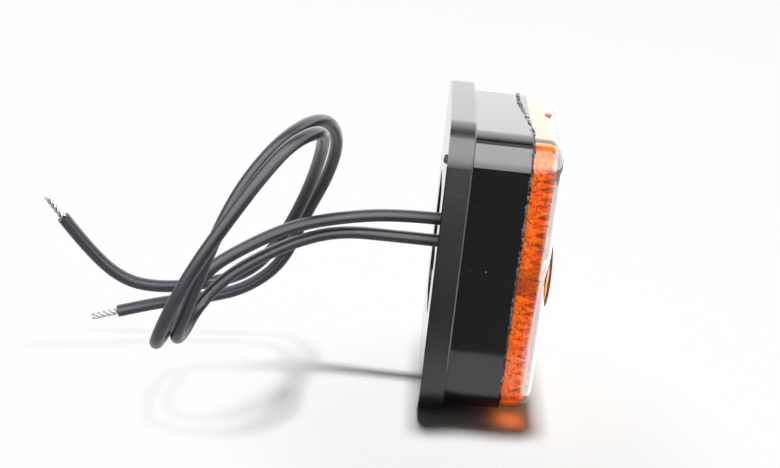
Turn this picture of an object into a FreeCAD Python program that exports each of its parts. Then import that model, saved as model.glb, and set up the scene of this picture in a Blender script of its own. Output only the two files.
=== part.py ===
"""Marker lamp with two loose leads: parametric model in millimetres.

Frame: the origin is the centre of the two screw holes on the back face, which is the plane X = 0.
+X is the way the lens faces, +Z runs up the lamp's length and Y runs across its width.
"""
import FreeCAD, Part
import math
import os
import Sketcher

Vector = FreeCAD.Vector
doc = FreeCAD.newDocument("marker_lamp")
nodes = []

# How near an edge lies to a level to count as on it
LEVEL_TOLERANCE = 1e-6

# Driving dimensions
SIZES = {
    # rubber pad behind the lamp
    "pad_length": 63.0,
    "pad_width": 44.0,
    "pad_radius": 7.5,
    "pad_height": 5.2,
    "pad_web": 2.0,
    "pad_rim": 1.5,
    "pad_edge": 0.5,
    "window_length": 28.0,
    "window_width": 20.0,
    "window_radius": 4.0,
    # black cup
    "housing_rise": 11.2,
    "housing_wall": 1.8,
    "rear_wall": 2.0,
    "column_radius": 4.5,
    "post_radius": 2.2,
    "post_height": 8.5,
    "pin_radius": 0.9,
    "pin_rise": 0.7,
    # amber cover
    "lens_rise": 6.8,
    "lens_step": 0.5,
    "lens_wall": 1.6,
    "lens_front": 1.8,
    "lens_edge": 3.5,
    "lip_wall": 1.1,
    "lip_depth": 1.5,
    # fixing
    "screw_spacing": 22.0,
    "screw_hole_radius": 2.25,
    "recess_radius": 6.4,
    "recess_wall": 0.7,
    "recess_floor": 1.6,
    "recess_rim": 0.5,
    # board and what is on it
    "board_thickness": 1.6,
    "post_pitch_across": 14.0,
    "post_pitch_along": 39.0,
    "diode_side": 5.0,
    "diode_height": 1.5,
    "diode_window": 1.9,
    "diode_window_floor": 1.5,
    "diode_window_depth": 0.5,
    "diode_pitch": 7.5,
    "part_pitch_across": 13.0,
    "part_pitch_along": 22.0,
    "resistor_length": 3.2,
    "resistor_width": 5.0,
    "resistor_height": 0.7,
    "rectifier_length": 4.0,
    "rectifier_width": 4.8,
    "rectifier_height": 2.2,
    "capacitor_radius": 2.0,
    "capacitor_height": 4.2,
    # seal and leads
    "seal_length": 13.0,
    "seal_width": 7.0,
    "seal_flange": 1.5,
    "seal_flange_height": 1.2,
    "lead_diameter": 2.7,
    "lead_spacing": 5.0,
    "cable_lift": 2.6,
    "lead_first_run": 10.5,
    "tail_radius": 0.7,
    "solder_radius": 1.5,
    "solder_height": 1.6,
    "tinned_radius": 0.75,
    "tinned_length": 6.0,
    # clearances
    "board_gap": 1.2,
    "column_gap": 0.6,
    "fit_gap": 0.1,
    "lip_gap": 0.15,
}

# Levels along X and outlines that follow from the driving dimensions
DERIVED = {
    "back_level": "0",
    "no_lift": "0",
    "cavity_floor": "pad_web + rear_wall",
    "seam_level": "pad_height + housing_rise",
    "front_level": "seam_level + lens_rise",
    "housing_depth": "seam_level - pad_web",
    "cavity_depth": "seam_level - cavity_floor",
    "lens_cavity_level": "seam_level + lens_rise - lens_front",
    "lens_cavity_depth": "lens_rise - lens_front",
    "lip_level": "seam_level - lip_depth",
    "rim_level": "front_level + recess_rim",
    "boss_height": "lens_rise + recess_rim",
    "recess_depth": "boss_height - recess_floor",
    "board_back": "cavity_floor + post_height",
    "board_front": "board_back + board_thickness",
    "diode_floor": "board_front + diode_height - diode_window_depth",
    "pin_height": "board_thickness + pin_rise",
    "board_length": "cavity_length - 2 * board_gap",
    "board_width": "cavity_width - 2 * board_gap",
    "board_radius": "cavity_radius - board_gap",
    "column_hole_radius": "column_radius + column_gap",
    "pin_hole_radius": "pin_radius + fit_gap",
    "housing_length": "pad_length - 2 * pad_rim",
    "housing_width": "pad_width - 2 * pad_rim",
    "housing_radius": "pad_radius - pad_rim",
    "socket_length": "housing_length + 2 * fit_gap",
    "socket_width": "housing_width + 2 * fit_gap",
    "socket_radius": "housing_radius + fit_gap",
    "socket_depth": "pad_height - pad_web",
    "cavity_length": "housing_length - 2 * housing_wall",
    "cavity_width": "housing_width - 2 * housing_wall",
    "cavity_radius": "housing_radius - housing_wall",
    "lens_length": "housing_length - 2 * lens_step",
    "lens_width": "housing_width - 2 * lens_step",
    "lens_radius": "housing_radius - lens_step",
    "lens_cavity_length": "lens_length - 2 * lens_wall",
    "lens_cavity_width": "lens_width - 2 * lens_wall",
    "lens_cavity_radius": "lens_radius - lens_wall",
    "lip_length": "cavity_length - 2 * lip_gap",
    "lip_width": "cavity_width - 2 * lip_gap",
    "lip_radius": "cavity_radius - lip_gap",
    "lip_inner_length": "lip_length - 2 * lip_wall",
    "lip_inner_width": "lip_width - 2 * lip_wall",
    "lip_inner_radius": "lip_radius - lip_wall",
    "recess_boss_radius": "recess_radius + recess_wall",
    "seal_radius": "seal_width / 2",
    "cable_hole_length": "seal_length + 2 * fit_gap",
    "cable_hole_width": "seal_width + 2 * fit_gap",
    "cable_hole_radius": "cable_hole_width / 2",
    "flange_length": "seal_length + 2 * seal_flange",
    "flange_width": "seal_width + 2 * seal_flange",
    "flange_radius": "seal_radius + seal_flange",
    "flange_level": "cavity_floor + seal_flange_height",
    "tail_length": "board_back - flange_level",
    "solder_level": "board_back - solder_height",
}

sheet = doc.addObject("Spreadsheet::Sheet", "sizes")
cells = {alias: str(value) for alias, value in SIZES.items()}
cells.update({alias: "=" + text for alias, text in DERIVED.items()})
for row, (alias, text) in enumerate(cells.items(), start=1):
    sheet.set(f"A{row}", alias)
    sheet.set(f"B{row}", text)
    sheet.setAlias(f"B{row}", alias)
doc.recompute()


def size(alias):
    """Value of one cell of the sheet."""
    return float(getattr(sheet, alias))


# Helpers for bodies and sketches
def new_body(name):
    """Empty body of one sub-part."""
    body = doc.addObject("PartDesign::Body", name)
    body.Label = name
    nodes.append(body)
    return body


def new_sketch(body, name, level, lift="no_lift"):
    """Sketch across the lamp at a level along X and a lift: its own x runs along Y and its y along Z."""
    sketch = body.newObject("Sketcher::SketchObject", name)
    plane = next(item for item in body.Origin.OriginFeatures if item.Role == "YZ_Plane")
    sketch.AttachmentSupport = (plane, [""])
    sketch.MapMode = "FlatFace"
    sketch.setExpression("AttachmentOffset.Base.y", "sizes." + lift)
    sketch.setExpression("AttachmentOffset.Base.z", "sizes." + level)
    return sketch


def dimension(sketch, alias, kind, *where):
    """Dimension in a sketch that is bound to a cell of the sheet."""
    index = sketch.addConstraint(Sketcher.Constraint(kind, *where, size(alias)))
    sketch.setExpression(f"Constraints[{index}]", "sizes." + alias)


def rule(sketch, kind, *where):
    """Geometric constraint in a sketch."""
    sketch.addConstraint(Sketcher.Constraint(kind, *where))


def rounded_rectangle(sketch, outline):
    """Rectangle with round corners about the origin, from the cells of one outline's name."""
    width, length, corner = (size(outline + end) for end in ("_width", "_length", "_radius"))
    in_y = width / 2 - corner
    in_z = length / 2 - corner
    centres = [(in_y, -in_z), (in_y, in_z), (-in_y, in_z), (-in_y, -in_z)]
    first = sketch.GeometryCount
    arcs = [first + 4 + turn for turn in range(4)]
    starts = []
    for turn, centre in enumerate(centres):
        angle = (turn - 1) * math.pi / 2
        out = Vector(math.cos(angle), math.sin(angle), 0) * corner
        starts.append((Vector(*centre, 0), out, angle))
    for turn in range(4):
        centre, out, _ = starts[turn]
        before, before_out, _ = starts[turn - 1]
        before_end = before + Vector(-before_out.y, before_out.x, 0)
        sketch.addGeometry(Part.LineSegment(before_end, centre + out), False)
    for centre, _, angle in starts:
        circle = Part.Circle(centre, Vector(0, 0, 1), corner)
        sketch.addGeometry(Part.ArcOfCircle(circle, angle, angle + math.pi / 2), False)
    for turn in range(4):
        rule(sketch, "Tangent", first + turn, 2, arcs[turn], 1)
        rule(sketch, "Tangent", arcs[turn], 2, first + (turn + 1) % 4, 1)
    for arc in arcs[1:]:
        rule(sketch, "Equal", arcs[0], arc)
    rule(sketch, "Horizontal", first)
    rule(sketch, "Symmetric", arcs[0], 3, arcs[2], 3, -1, 1)
    dimension(sketch, outline + "_width", "DistanceX", first + 3, 2, first + 1, 1)
    dimension(sketch, outline + "_length", "DistanceY", first, 1, first + 2, 2)
    dimension(sketch, outline + "_radius", "Radius", arcs[0])


def obround(sketch, outline):
    """Slot with round ends along Z about the origin, from the cells of one outline's name."""
    radius = size(outline + "_radius")
    reach = size(outline + "_length") / 2 - radius
    first = sketch.GeometryCount
    top = Part.Circle(Vector(0, reach, 0), Vector(0, 0, 1), radius)
    bottom = Part.Circle(Vector(0, -reach, 0), Vector(0, 0, 1), radius)
    sketch.addGeometry(Part.ArcOfCircle(top, 0, math.pi), False)
    sketch.addGeometry(Part.LineSegment(Vector(-radius, reach, 0), Vector(-radius, -reach, 0)), False)
    sketch.addGeometry(Part.ArcOfCircle(bottom, math.pi, 2 * math.pi), False)
    sketch.addGeometry(Part.LineSegment(Vector(radius, -reach, 0), Vector(radius, reach, 0)), False)
    for piece in range(4):
        rule(sketch, "Tangent", first + piece, 2, first + (piece + 1) % 4, 1)
    rule(sketch, "Vertical", first + 1)
    rule(sketch, "Equal", first, first + 2)
    rule(sketch, "Symmetric", first, 3, first + 2, 3, -1, 1)
    dimension(sketch, outline + "_radius", "Radius", first)
    centre_gap = sketch.addConstraint(
        Sketcher.Constraint("DistanceY", first + 2, 3, first, 3, 2 * reach)
    )
    text = f"sizes.{outline}_length - 2 * sizes.{outline}_radius"
    sketch.setExpression(f"Constraints[{centre_gap}]", text)


def circle_pair(sketch, radius, pitch):
    """Two equal circles on the Y axis, on both sides of the origin."""
    first = sketch.GeometryCount
    for side in (1, -1):
        centre = Vector(side * size(pitch) / 2, 0, 0)
        sketch.addGeometry(Part.Circle(centre, Vector(0, 0, 1), size(radius)), False)
    rule(sketch, "Equal", first, first + 1)
    rule(sketch, "PointOnObject", first, 3, -1)
    rule(sketch, "Symmetric", first, 3, first + 1, 3, -1, 1)
    dimension(sketch, radius, "Radius", first)
    dimension(sketch, pitch, "DistanceX", first + 1, 3, first, 3)


def circle_square(sketch, radius, across, along):
    """Four equal circles on the corners of a rectangle about the origin."""
    first = sketch.GeometryCount
    for side, end in ((1, 1), (-1, 1), (-1, -1), (1, -1)):
        centre = Vector(side * size(across) / 2, end * size(along) / 2, 0)
        sketch.addGeometry(Part.Circle(centre, Vector(0, 0, 1), size(radius)), False)
    for other in (1, 2, 3):
        rule(sketch, "Equal", first, first + other)
    rule(sketch, "Horizontal", first, 3, first + 1, 3)
    rule(sketch, "Vertical", first, 3, first + 3, 3)
    rule(sketch, "Symmetric", first, 3, first + 2, 3, -1, 1)
    rule(sketch, "Symmetric", first + 1, 3, first + 3, 3, -1, 1)
    dimension(sketch, radius, "Radius", first)
    dimension(sketch, across, "DistanceX", first + 1, 3, first, 3)
    dimension(sketch, along, "DistanceY", first + 3, 3, first, 3)


def pad(body, name, sketch, length):
    """Raise a sketch towards +X."""
    feature = body.newObject("PartDesign::Pad", name)
    feature.Profile = sketch
    feature.setExpression("Length", "sizes." + length)
    doc.recompute()
    return feature


def pocket(body, name, sketch, length):
    """Cut a sketch into the body, towards the back."""
    before = body.Shape.Volume
    feature = body.newObject("PartDesign::Pocket", name)
    feature.Profile = sketch
    feature.setExpression("Length", "sizes." + length)
    doc.recompute()
    if body.Shape.Volume >= before:
        raise ValueError(name + " cuts nothing")
    return feature


def round_outline(body, name, base, level, radius):
    """Round the edges of the body that lie wholly at one level along X."""
    at_level = []
    for number, edge in enumerate(base.Shape.Edges, start=1):
        box = edge.BoundBox
        if max(abs(box.XMin - size(level)), abs(box.XMax - size(level))) < LEVEL_TOLERANCE:
            at_level.append(f"Edge{number}")
    feature = body.newObject("PartDesign::Fillet", name)
    feature.Base = (base, at_level)
    feature.setExpression("Radius", "sizes." + radius)
    doc.recompute()
    return feature


# Rubber pad: a rim round the housing's foot on a thin web with a window for the leads
def make_base_pad():
    body = new_body("base_pad")
    outline = new_sketch(body, "PadOutline", "back_level")
    rounded_rectangle(outline, "pad")
    block = pad(body, "PadBlock", outline, "pad_height")
    round_outline(body, "PadEdge", block, "pad_height", "pad_edge")
    socket = new_sketch(body, "PadSocketOutline", "pad_height")
    rounded_rectangle(socket, "socket")
    pocket(body, "PadSocket", socket, "socket_depth")
    window = new_sketch(body, "PadWindowOutline", "pad_web")
    rounded_rectangle(window, "window")
    pocket(body, "PadWindow", window, "pad_web")
    holes = new_sketch(body, "PadHoleCircles", "pad_web")
    circle_pair(holes, "screw_hole_radius", "screw_spacing")
    pocket(body, "PadHoles", holes, "pad_web")


# Black cup: screw columns up to the seam, stepped posts for the board and a slot for the seal
def make_housing():
    body = new_body("housing")
    outline = new_sketch(body, "HousingOutline", "pad_web")
    rounded_rectangle(outline, "housing")
    pad(body, "HousingBlock", outline, "housing_depth")
    cavity = new_sketch(body, "HousingCavityOutline", "seam_level")
    rounded_rectangle(cavity, "cavity")
    pocket(body, "HousingCavity", cavity, "cavity_depth")
    columns = new_sketch(body, "ColumnCircles", "cavity_floor")
    circle_pair(columns, "column_radius", "screw_spacing")
    pad(body, "Columns", columns, "cavity_depth")
    posts = new_sketch(body, "PostCircles", "cavity_floor")
    circle_square(posts, "post_radius", "post_pitch_across", "post_pitch_along")
    pad(body, "Posts", posts, "post_height")
    pins = new_sketch(body, "PinCircles", "board_back")
    circle_square(pins, "pin_radius", "post_pitch_across", "post_pitch_along")
    pad(body, "Pins", pins, "pin_height")
    holes = new_sketch(body, "HousingHoleCircles", "seam_level")
    circle_pair(holes, "screw_hole_radius", "screw_spacing")
    pocket(body, "HousingHoles", holes, "housing_depth")
    slot = new_sketch(body, "CableHoleOutline", "cavity_floor", "cable_lift")
    obround(slot, "cable_hole")
    pocket(body, "CableHole", slot, "rear_wall")


# Amber cover: hollow behind its front, with two rimmed screw recesses and a lip inside the cup's rim
def make_lens():
    body = new_body("lens")
    outline = new_sketch(body, "LensOutline", "seam_level")
    rounded_rectangle(outline, "lens")
    block = pad(body, "LensBlock", outline, "lens_rise")
    round_outline(body, "LensEdge", block, "front_level", "lens_edge")
    cavity = new_sketch(body, "LensCavityOutline", "lens_cavity_level")
    rounded_rectangle(cavity, "lens_cavity")
    pocket(body, "LensCavity", cavity, "lens_cavity_depth")
    bosses = new_sketch(body, "RecessBossCircles", "seam_level")
    circle_pair(bosses, "recess_boss_radius", "screw_spacing")
    pad(body, "RecessBosses", bosses, "boss_height")
    lip = new_sketch(body, "LipOutline", "lip_level")
    rounded_rectangle(lip, "lip")
    rounded_rectangle(lip, "lip_inner")
    pad(body, "Lip", lip, "lip_depth")
    recesses = new_sketch(body, "RecessCircles", "rim_level")
    circle_pair(recesses, "recess_radius", "screw_spacing")
    pocket(body, "Recesses", recesses, "recess_depth")
    holes = new_sketch(body, "LensHoleCircles", "rim_level")
    circle_pair(holes, "screw_hole_radius", "screw_spacing")
    pocket(body, "LensHoles", holes, "boss_height")


# Circuit board on the housing's posts, with a hole round each screw column
def make_circuit_board():
    body = new_body("circuit_board")
    outline = new_sketch(body, "BoardOutline", "board_back")
    rounded_rectangle(outline, "board")
    pad(body, "BoardBlock", outline, "board_thickness")
    holes = new_sketch(body, "BoardHoleCircles", "board_front")
    circle_square(holes, "pin_hole_radius", "post_pitch_across", "post_pitch_along")
    circle_pair(holes, "column_hole_radius", "screw_spacing")
    pocket(body, "BoardHoles", holes, "board_thickness")


# Seal: a plug in the cable hole with a flange on the inside of the rear wall
def make_cable_seal():
    body = new_body("cable_seal")
    plug = new_sketch(body, "SealPlugOutline", "pad_web", "cable_lift")
    obround(plug, "seal")
    pad(body, "SealPlug", plug, "rear_wall")
    flange = new_sketch(body, "SealFlangeOutline", "cavity_floor", "cable_lift")
    obround(flange, "flange")
    pad(body, "SealFlange", flange, "seal_flange_height")


# Small parts on the board
def place(thing, level, across, along):
    """Place a primitive by formulas for its Y and Z, at a level along X."""
    thing.setExpression("Placement.Base.x", "sizes." + level)
    thing.setExpression("Placement.Base.y", across)
    thing.setExpression("Placement.Base.z", along)


def chip(name, kind, across, along):
    """Flat block on the board's front, centred on two formulas."""
    block = doc.addObject("Part::Box", name)
    for side, end in (("Length", "height"), ("Width", "width"), ("Height", "length")):
        block.setExpression(side, f"sizes.{kind}_{end}")
    place(block, "board_front", f"{across} - sizes.{kind}_width / 2", f"{along} - sizes.{kind}_length / 2")
    return block


def axial(name, kind, level, height, across, along):
    """Upright cylinder along X."""
    rod = doc.addObject("Part::Cylinder", name)
    rod.Placement = FreeCAD.Placement(Vector(), FreeCAD.Rotation(Vector(0, 1, 0), 90))
    rod.setExpression("Radius", f"sizes.{kind}_radius")
    rod.setExpression("Height", "sizes." + height)
    place(rod, level, across, along)
    return rod


def make_diodes():
    """Six lamp diodes in one row up the middle, each with a sunk window."""
    for number, row in enumerate((2.5, 1.5, 0.5, -0.5, -1.5, -2.5), 1):
        along = f"{row} * sizes.diode_pitch"
        block = doc.addObject("Part::Box", f"diode_block_{number}")
        block.setExpression("Length", "sizes.diode_height")
        block.setExpression("Width", "sizes.diode_side")
        block.setExpression("Height", "sizes.diode_side")
        place(block, "board_front", "-1 * sizes.diode_side / 2", f"{along} - sizes.diode_side / 2")
        window = doc.addObject("Part::Cone", f"diode_window_{number}")
        window.Placement = FreeCAD.Placement(Vector(), FreeCAD.Rotation(Vector(0, 1, 0), 90))
        window.setExpression("Radius1", "sizes.diode_window_floor")
        window.setExpression("Radius2", "sizes.diode_window")
        window.setExpression("Height", "sizes.diode_window_depth")
        place(window, "diode_floor", "0", along)
        diode = doc.addObject("Part::Cut", f"lamp_diode_{number}")
        diode.Base = block
        diode.Tool = window
        diode.Label = f"lamp_diode_{number}"
        nodes.append(diode)


def make_board_parts():
    """Two resistors, a rectifier and a capacitor on both sides of the diodes."""
    upper = "sizes.part_pitch_along / 2"
    lower = "-1 * sizes.part_pitch_along / 2"
    left = "-1 * sizes.part_pitch_across / 2"
    right = "sizes.part_pitch_across / 2"
    nodes.append(chip("resistor_1", "resistor", left, upper))
    nodes.append(chip("resistor_2", "resistor", right, upper))
    nodes.append(chip("rectifier", "rectifier", left, lower))
    nodes.append(axial("capacitor", "capacitor", "board_front", "capacitor_height", right, lower))


def make_tails():
    """Bare conductors from the seal to the board, with a cone of solder round each."""
    for number, side in ((1, 1), (2, -1)):
        along = f"sizes.cable_lift + {side} * sizes.lead_spacing / 2"
        nodes.append(axial(f"lead_tail_{number}", "tail", "flange_level", "tail_length", "0", along))
        cone = doc.addObject("Part::Cone", f"solder_cone_{number}")
        cone.Placement = FreeCAD.Placement(Vector(), FreeCAD.Rotation(Vector(0, 1, 0), 90))
        cone.setExpression("Radius1", "sizes.tail_radius + sizes.fit_gap")
        cone.setExpression("Radius2", "sizes.solder_radius")
        cone.setExpression("Height", "sizes.solder_height")
        place(cone, "solder_level", "0", along)
        bore = axial(f"solder_bore_{number}", "tail", "solder_level", "solder_height", "0", along)
        solder = doc.addObject("Part::Cut", f"solder_joint_{number}")
        solder.Base = cone
        solder.Tool = bore
        solder.Label = f"solder_joint_{number}"
        nodes.append(solder)


# Leads: each route starts on the seal and runs back, folds, loops over and ends free on the left
ROUTES = {
    1: [
        (-20.0, -1.0, 3.5), (-30.5, -3.0, 1.0), (-40.0, -6.0, -3.9), (-47.3, -8.3, -8.9),
        (-52.2, -10.5, -17.9), (-54.6, -20.0, -20.8), (-53.9, -30.0, -16.8), (-50.3, -33.0, -6.6),
        (-46.0, -33.0, 2.7), (-40.5, -32.0, 12.1), (-35.1, -30.0, 20.7), (-30.0, -26.5, 27.1),
        (-24.8, -18.5, 27.8), (-25.0, -6.5, 20.8), (-27.6, 5.0, 7.9), (-32.6, 8.0, -5.6),
        (-39.3, 7.0, -14.8), (-49.2, 5.0, -18.0), (-58.4, 2.0, -18.6), (-66.0, 0.0, -17.0),
        (-73.0, -2.0, -10.5), (-78.8, -4.0, -2.2),
    ],
    2: [
        (-20.0, 1.0, -0.4), (-29.0, 0.0, -3.2), (-37.5, -3.0, -7.4), (-43.6, -5.6, -11.5),
        (-48.8, -8.0, -17.8), (-50.6, -16.5, -21.0), (-50.6, -25.5, -17.2), (-47.9, -28.0, -8.6),
        (-45.2, -28.0, 0.7), (-42.2, -27.0, 9.7), (-38.2, -25.0, 18.3), (-31.8, -20.5, 26.5),
        (-25.4, -8.5, 27.6), (-22.3, 2.0, 20.4), (-24.1, 10.0, 9.1), (-29.0, 13.0, -2.6),
        (-32.8, 12.0, -13.8), (-40.6, 11.0, -20.6), (-49.5, 9.0, -23.0), (-59.0, 7.0, -24.3),
        (-68.2, 5.0, -26.8),
    ],
}
ARC_SHARE = 0.45


def cord_path(points):
    """Straight runs joined by tangent arcs as large as the runs allow, and the arcs' radii."""
    edges = []
    radii = []
    last = points[0]
    for before, corner, after in zip(points, points[1:], points[2:]):
        incoming = (before - corner).normalize()
        outgoing = (after - corner).normalize()
        half_turn = (math.pi - incoming.getAngle(outgoing)) / 2
        cut_back = ARC_SHARE * min((corner - before).Length, (after - corner).Length)
        radius = cut_back / math.tan(half_turn)
        arc_start = corner + incoming * cut_back
        arc_end = corner + outgoing * cut_back
        inward = (incoming + outgoing).normalize()
        arc_middle = corner + inward * (radius / math.cos(half_turn) - radius)
        edges.append(Part.LineSegment(last, arc_start).toShape())
        edges.append(Part.Arc(arc_start, arc_middle, arc_end).toShape())
        radii.append(radius)
        last = arc_end
    edges.append(Part.LineSegment(last, points[-1]).toShape())
    return Part.Wire(edges), radii


def make_leads():
    """Round leads along their routes, each with a tinned end that continues its last run."""
    for number, side in ((1, 1), (2, -1)):
        along = size("cable_lift") + side * size("lead_spacing") / 2
        start = Vector(size("pad_web"), 0, along)
        second = start - Vector(size("lead_first_run"), 0, 0)
        points = [start, second] + [Vector(*point) for point in ROUTES[number]]
        path, radii = cord_path(points)
        radius = size("lead_diameter") / 2
        section = Part.Wire([Part.makeCircle(radius, start, Vector(-1, 0, 0))])
        lead = doc.addObject("Part::Feature", f"lead_{number}")
        lead.Shape = path.makePipeShell([section], True, False)
        nodes.append(lead)
        ideal = math.pi * radius ** 2 * path.Length
        print(f"lead_{number}: length {path.Length:.1f}, least radius {min(radii):.1f},",
              f"volume {lead.Shape.Volume:.1f} for {ideal:.1f}")
        print("  radii", [round(value, 1) for value in radii])
        end = doc.addObject("Part::Cylinder", f"tinned_end_{number}")
        end.setExpression("Radius", "sizes.tinned_radius")
        end.setExpression("Height", "sizes.tinned_length")
        turn = FreeCAD.Rotation(Vector(0, 0, 1), points[-1] - points[-2])
        end.Placement = FreeCAD.Placement(points[-1], turn)
        nodes.append(end)


make_base_pad()
make_housing()
make_lens()
make_circuit_board()
make_cable_seal()
make_diodes()
make_board_parts()
make_tails()
make_leads()
doc.recompute()

# Every object has to be whole before anything is written
for thing in doc.Objects:
    if "Invalid" in thing.State or "Error" in thing.State:
        raise ValueError(f"{thing.Label} failed: {thing.State}")
for node in nodes:
    if node.Shape.isNull() or not node.Shape.isValid():
        raise ValueError(node.Label + " has no valid shape")
os.makedirs("parts", exist_ok=True)
for node in nodes:
    node.Shape.exportStep(os.path.join("parts", node.Label + ".step"))
    print(node.Label, len(node.Shape.Solids), "solid", round(node.Shape.Volume, 2))
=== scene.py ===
"""Looks of an amber marker lamp with two loose leads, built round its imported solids.

Units are metres. X is the way the lens faces, Z runs up the lamp and Y runs across it.
"""

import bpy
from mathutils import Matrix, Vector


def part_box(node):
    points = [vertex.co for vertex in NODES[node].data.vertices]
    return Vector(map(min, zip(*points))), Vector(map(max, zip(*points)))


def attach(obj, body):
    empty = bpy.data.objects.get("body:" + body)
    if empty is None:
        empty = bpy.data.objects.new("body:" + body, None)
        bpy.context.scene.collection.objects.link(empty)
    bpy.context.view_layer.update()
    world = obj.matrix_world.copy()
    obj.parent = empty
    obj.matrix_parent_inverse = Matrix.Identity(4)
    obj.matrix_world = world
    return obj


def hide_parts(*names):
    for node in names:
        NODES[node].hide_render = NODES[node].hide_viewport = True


bl_info = {
    "name": "Marker Lamp",
    "version": (1, 0, 0),
    "blender": (4, 5, 0),
    "location": "View3D > Sidebar > Marker Lamp",
    "description": "Dresses the solids of an amber marker lamp and sets its studio",
    "category": "Object",
}

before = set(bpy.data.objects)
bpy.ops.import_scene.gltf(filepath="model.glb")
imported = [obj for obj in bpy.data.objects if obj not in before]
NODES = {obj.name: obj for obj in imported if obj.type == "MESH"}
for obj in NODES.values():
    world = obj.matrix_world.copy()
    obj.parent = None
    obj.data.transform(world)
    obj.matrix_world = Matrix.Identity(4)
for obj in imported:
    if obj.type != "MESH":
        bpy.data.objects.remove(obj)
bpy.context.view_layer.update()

import math

import bpy
from bpy.props import FloatProperty, FloatVectorProperty, IntProperty, PointerProperty
from mathutils import Matrix, Quaternion, Vector

MM = 0.001
BODY = "root"
PAD_LOW, PAD_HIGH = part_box("base_pad")
_, HOUSING_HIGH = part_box("housing")
LENS_LOW, LENS_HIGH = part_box("lens")
SEAM = HOUSING_HIGH.x

# Turns that lay a new flat or round shape level, across the lamp or along X
LEVEL = (0.0, 0.0, 0.0)
ACROSS = (math.pi / 2, 0.0, math.pi / 2)
ALONG_X = (0.0, math.pi / 2, 0.0)
ALONG_X_BACK = (0.0, -math.pi / 2, 0.0)

# Control points of the two leads, in millimetres, from the seal to the stripped end
LEAD_ROUTES = {
    1: [
        (2.0, 0.0, 5.1), (-8.5, 0.0, 5.1),
        (-20.0, -1.0, 3.5), (-30.5, -3.0, 1.0), (-40.0, -6.0, -3.9), (-47.3, -8.3, -8.9),
        (-52.2, -10.5, -17.9), (-54.6, -20.0, -20.8), (-53.9, -30.0, -16.8), (-50.3, -33.0, -6.6),
        (-46.0, -33.0, 2.7), (-40.5, -32.0, 12.1), (-35.1, -30.0, 20.7), (-30.0, -26.5, 27.1),
        (-24.8, -18.5, 27.8), (-25.0, -6.5, 20.8), (-27.6, 5.0, 7.9), (-32.6, 8.0, -5.6),
        (-39.3, 7.0, -14.8), (-49.2, 5.0, -18.0), (-58.4, 2.0, -18.6), (-66.0, 0.0, -17.0),
        (-73.0, -2.0, -10.5), (-78.8, -4.0, -2.2),
    ],
    2: [
        (2.0, 0.0, 0.1), (-8.5, 0.0, 0.1),
        (-20.0, 1.0, -0.4), (-29.0, 0.0, -3.2), (-37.5, -3.0, -7.4), (-43.6, -5.6, -11.5),
        (-48.8, -8.0, -17.8), (-50.6, -16.5, -21.0), (-50.6, -25.5, -17.2), (-47.9, -28.0, -8.6),
        (-45.2, -28.0, 0.7), (-42.2, -27.0, 9.7), (-38.2, -25.0, 18.3), (-31.8, -20.5, 26.5),
        (-25.4, -8.5, 27.6), (-22.3, 2.0, 20.4), (-24.1, 10.0, 9.1), (-29.0, 13.0, -2.6),
        (-32.8, 12.0, -13.8), (-40.6, 11.0, -20.6), (-49.5, 9.0, -23.0), (-59.0, 7.0, -24.3),
        (-68.2, 5.0, -26.8),
    ],
}


def length_property(name, description, default):
    """Float property in metres."""
    return FloatProperty(name=name, description=description, default=default, unit="LENGTH", precision=5)


def colour_property(name, description, default):
    """Colour property, linear."""
    return FloatVectorProperty(
        name=name, description=description, default=default, subtype="COLOR", min=0.0, max=1.0
    )


class LampSizes(bpy.types.PropertyGroup):
    """Sizes of the details that the solids leave out."""

    lead_diameter: length_property("Lead diameter", "Outside of the insulation", 2.7 * MM)
    lens_wall: length_property("Lens wall", "Thickness of the lens's side", 1.6 * MM)
    lens_front: length_property("Lens front", "Thickness of the lens's front", 1.8 * MM)
    lens_radius: length_property("Lens corner", "Corner radius of the lens's outline", 5.5 * MM)
    rim_rise: length_property("Rim rise", "How far the recess rims stand out of the lens's front", 0.5 * MM)
    facet_pitch: length_property("Facet pitch", "Spacing of the facets in the lens's side", 0.6 * MM)
    facet_depth: length_property("Facet depth", "How far the facets' corners stray", 0.45 * MM)
    tooth_pitch: length_property("Tooth pitch", "Spacing of the teeth behind the front's edge", 1.9 * MM)
    tooth_length: length_property("Tooth length", "Length of the teeth behind the front's edge", 2.4 * MM)
    facet_wall: length_property("Facet wall", "Thickness of the faceted band", 0.5 * MM)
    pyramid_pitch: length_property("Pyramid pitch", "Spacing of the pyramids behind the front", 2.4 * MM)
    pyramid_depth: length_property("Pyramid depth", "Depth of the pyramids behind the front", 0.9 * MM)
    screw_offset: length_property("Screw offset", "Distance of each screw from the middle", 11.0 * MM)
    boss_radius: length_property("Boss radius", "Outside of the wall round a screw recess", 7.1 * MM)
    recess_radius: length_property("Recess radius", "Inside of the wall round a screw recess", 6.4 * MM)
    flash_reach: length_property("Flash reach", "Width of the ragged weld at the seam", 0.35 * MM)
    flash_height: length_property("Flash height", "Height of the ragged weld at the seam", 0.6 * MM)
    gate_radius: length_property("Gate radius", "Radius of the moulding mark on the lens's end", 0.8 * MM)
    strand_radius: length_property("Strand radius", "Radius of one tinned strand", 0.36 * MM)
    strand_circle: length_property("Strand circle", "Radius of the ring of strands", 0.38 * MM)
    stripped_length: length_property("Stripped length", "Length of a stripped end", 6.0 * MM)
    strand_count: IntProperty(name="Strands", description="Strands round a stripped end", default=3)
    strand_twist: FloatProperty(
        name="Strand twist", description="Turn of a strand along a stripped end",
        default=math.radians(560.0), subtype="ANGLE",
    )


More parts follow.
